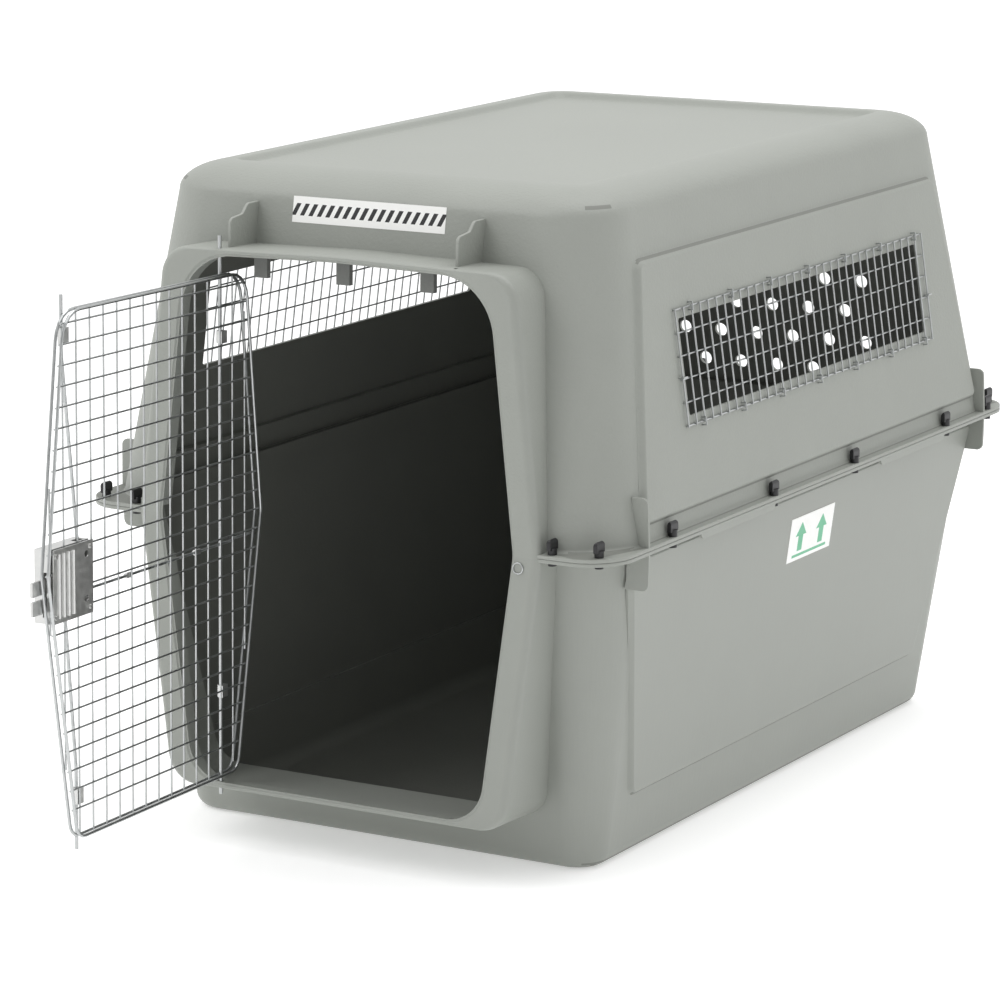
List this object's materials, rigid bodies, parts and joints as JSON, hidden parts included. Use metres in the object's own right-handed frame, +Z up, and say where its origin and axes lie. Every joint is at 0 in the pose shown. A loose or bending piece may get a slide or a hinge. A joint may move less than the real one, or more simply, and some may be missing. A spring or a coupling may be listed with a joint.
{
  "type": "pet transport carrier",
  "caption": "Large two-shell plastic pet carrier with a wire door on a hinge rod, a squeeze latch that throws rods four ways, and a wire-mesh window on each side.",
  "frame": {"origin": "on the floor under the middle of the shells", "axes": "+Z up, +Y to the back of the carrier, the door at -Y, X across"},
  "size_m": [0.813, 1.672, 0.884],
  "materials": {
    "shell_plastic": "moulded polypropylene, fine leather grain",
    "tab_plastic": "moulded, satin",
    "fastener_nylon": "moulded black nylon",
    "zinc_wire": "bright zinc plated wire",
    "latch_chrome": "pressed steel, nickel plated",
    "label_vinyl": "white vinyl"
  },
  "bodies": {
    "shells": {"top_shell": "shell_plastic", "bottom_shell": "shell_plastic", "door_stop_tabs": "tab_plastic", "flange_bolts": "fastener_nylon", "flange_nuts": "fastener_nylon", "left_window_uprights": "zinc_wire", "left_window_bars": "zinc_wire", "left_window_clips": "zinc_wire", "right_window_uprights": "zinc_wire", "right_window_bars": "zinc_wire", "right_window_clips": "zinc_wire", "wire_loop": "zinc_wire", "front_label": "label_vinyl", "side_labels": "label_vinyl"},
    "door": {"door_edge_outer": "zinc_wire", "door_edge_inner": "zinc_wire", "door_uprights": "zinc_wire", "door_bars": "zinc_wire", "hinge_rod": "zinc_wire", "hinge_rod_clips": "latch_chrome", "latch_plate": "latch_chrome", "latch_cover": "latch_chrome", "latch_rivets": "latch_chrome", "rod_guides": "latch_chrome", "cross_rod_guides": "latch_chrome", "upper_spring": "zinc_wire", "lower_spring": "zinc_wire"},
    "upper_bolt": {"upper_slide": "latch_chrome", "upper_rod": "zinc_wire"},
    "lower_bolt": {"lower_slide": "latch_chrome", "lower_rod": "zinc_wire"},
    "side_bolt": {"side_bolts": "latch_chrome"},
    "cross_bolt": {"cross_rod": "zinc_wire"}
  },
  "joints": [
    {"name": "door_hinge", "type": "hinge", "parent": "shells", "child": "door", "pos_m": [-0.1785, -0.6064, 0.43777], "axis": [0, 0.0349, 0.9994], "range_deg": [-79, 85.5]},
    {"name": "upper_squeeze", "type": "slide", "parent": "door", "child": "upper_bolt", "axis": [0, -0.0349, -0.9994], "range_m": [0, 0.012], "stiffness_N_per_m": 400, "springref_m": -0.012, "deforming": ["upper_spring"]},
    {"name": "lower_squeeze", "type": "slide", "parent": "door", "child": "lower_bolt", "axis": [0, 0.0349, 0.9994], "range_m": [0, 0.012], "stiffness_N_per_m": 400, "springref_m": -0.012, "deforming": ["lower_spring"]},
    {"name": "side_bolt_slide", "type": "slide", "parent": "door", "child": "side_bolt", "axis": [-0.0785, 0.9963, -0.0348], "range_m": [0, 0.015], "stiffness_N_per_m": 100, "springref_m": -0.015},
    {"name": "cross_bolt_slide", "type": "slide", "parent": "door", "child": "cross_bolt", "axis": [0.0785, -0.9963, 0.0348], "range_m": [0, 0.015], "stiffness_N_per_m": 100, "springref_m": -0.015}
  ],
  "couplings": [
    {"joint": "lower_squeeze", "follows": "upper_squeeze", "ratio": 1},
    {"joint": "side_bolt_slide", "follows": "upper_squeeze", "ratio": 1.25},
    {"joint": "cross_bolt_slide", "follows": "upper_squeeze", "ratio": 1.25}
  ]
}
